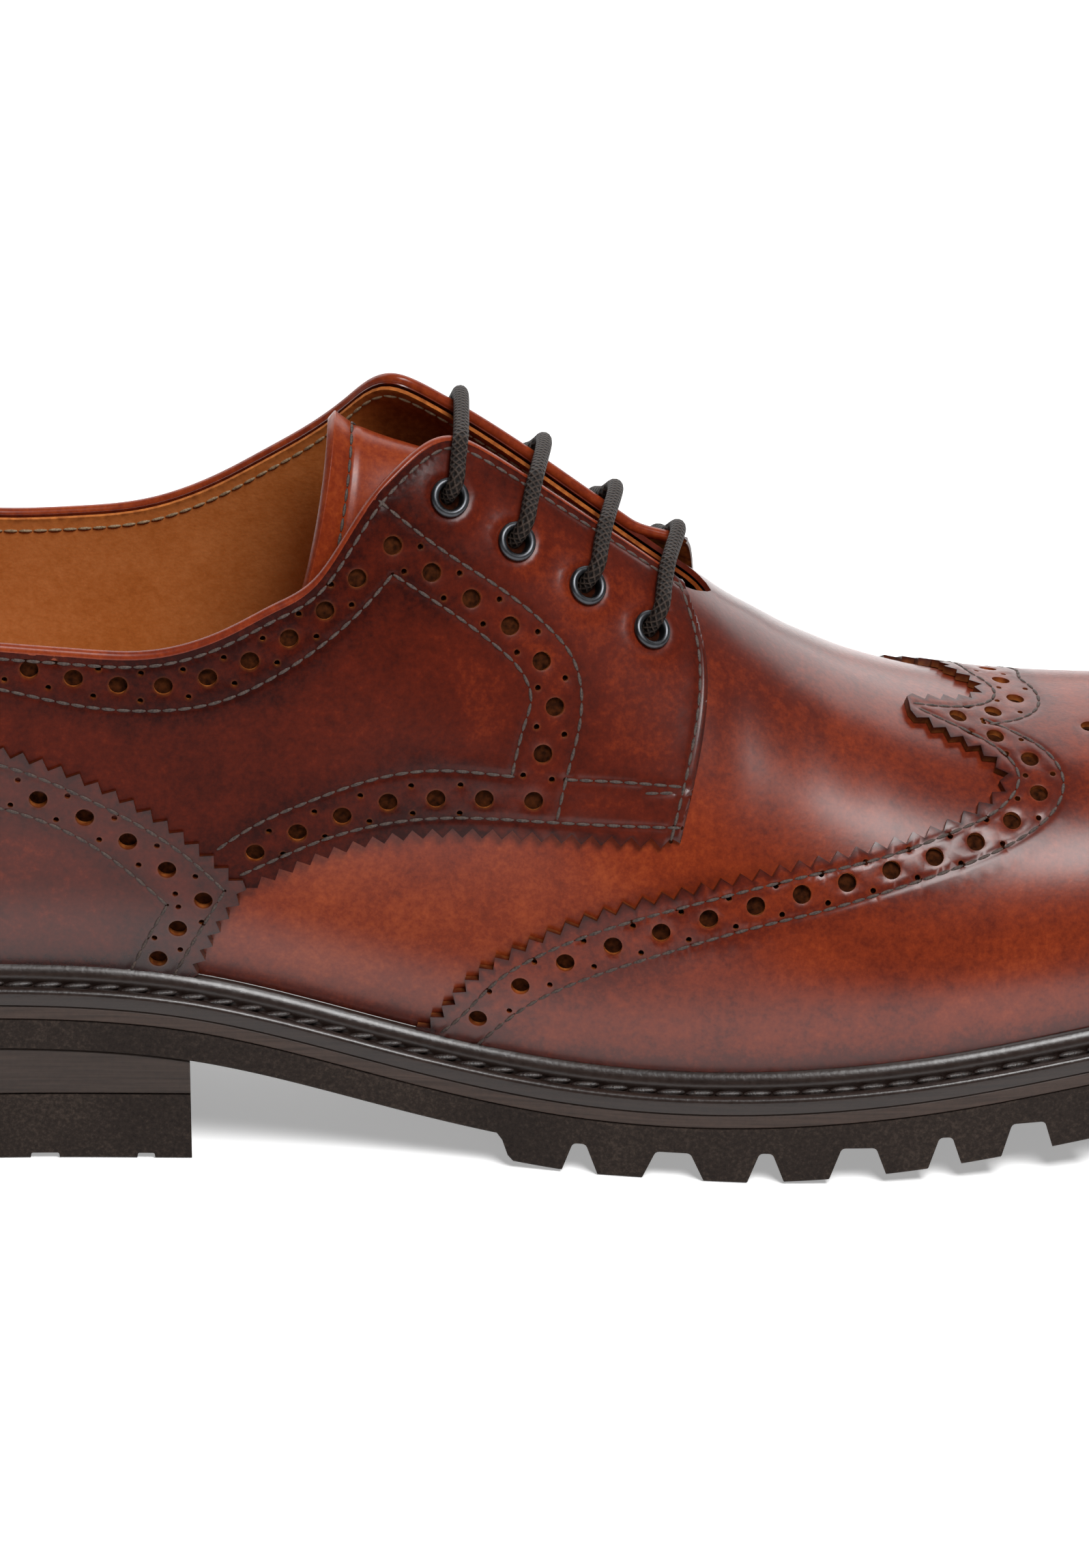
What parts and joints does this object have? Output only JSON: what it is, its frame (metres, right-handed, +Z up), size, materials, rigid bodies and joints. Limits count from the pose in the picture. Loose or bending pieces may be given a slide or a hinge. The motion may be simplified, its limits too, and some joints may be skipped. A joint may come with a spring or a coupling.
{
  "type": "lace-up shoe",
  "caption": "Wing-tip brogue derby shoe in burnished brown leather with open lacing, storm welt, lugged rubber sole and separate heel",
  "frame": {"origin": "on the floor under the middle of the sole's box", "axes": "+X from heel to toe, +Y to the inner (medial) side of this right shoe, +Z up"},
  "size_m": [0.305, 0.1042, 0.1405],
  "materials": {
    "upper_leather": "burnished, waxed",
    "lining_leather": "smooth, matt",
    "welt_leather": "dressed edge, satin",
    "midsole_leather": "dressed edge, matt",
    "sole_rubber": "moulded, matt and grainy",
    "heel_stack": "sanded stack, satin",
    "eyelet_metal": "gunmetal, satin",
    "lace_cord": "round waxed braid"
  },
  "bodies": {
    "root": {"upper": "upper_leather", "quarter_outer": "upper_leather", "quarter_inner": "upper_leather", "wing_cap": "upper_leather", "heel_counter": "upper_leather", "tongue": "upper_leather", "insole": "lining_leather", "welt": "welt_leather", "midsole": "midsole_leather", "outsole": "sole_rubber", "heel_stack": "heel_stack", "heel_top_piece": "sole_rubber", "eyelet_outer_1": "eyelet_metal", "eyelet_outer_2": "eyelet_metal", "eyelet_outer_3": "eyelet_metal", "eyelet_outer_4": "eyelet_metal", "eyelet_inner_1": "eyelet_metal", "eyelet_inner_2": "eyelet_metal", "eyelet_inner_3": "eyelet_metal", "eyelet_inner_4": "eyelet_metal", "lace_bar_1": "lace_cord", "lace_bar_2": "lace_cord", "lace_bar_3": "lace_cord", "lace_bar_4": "lace_cord"}
  },
  "joints": []
}
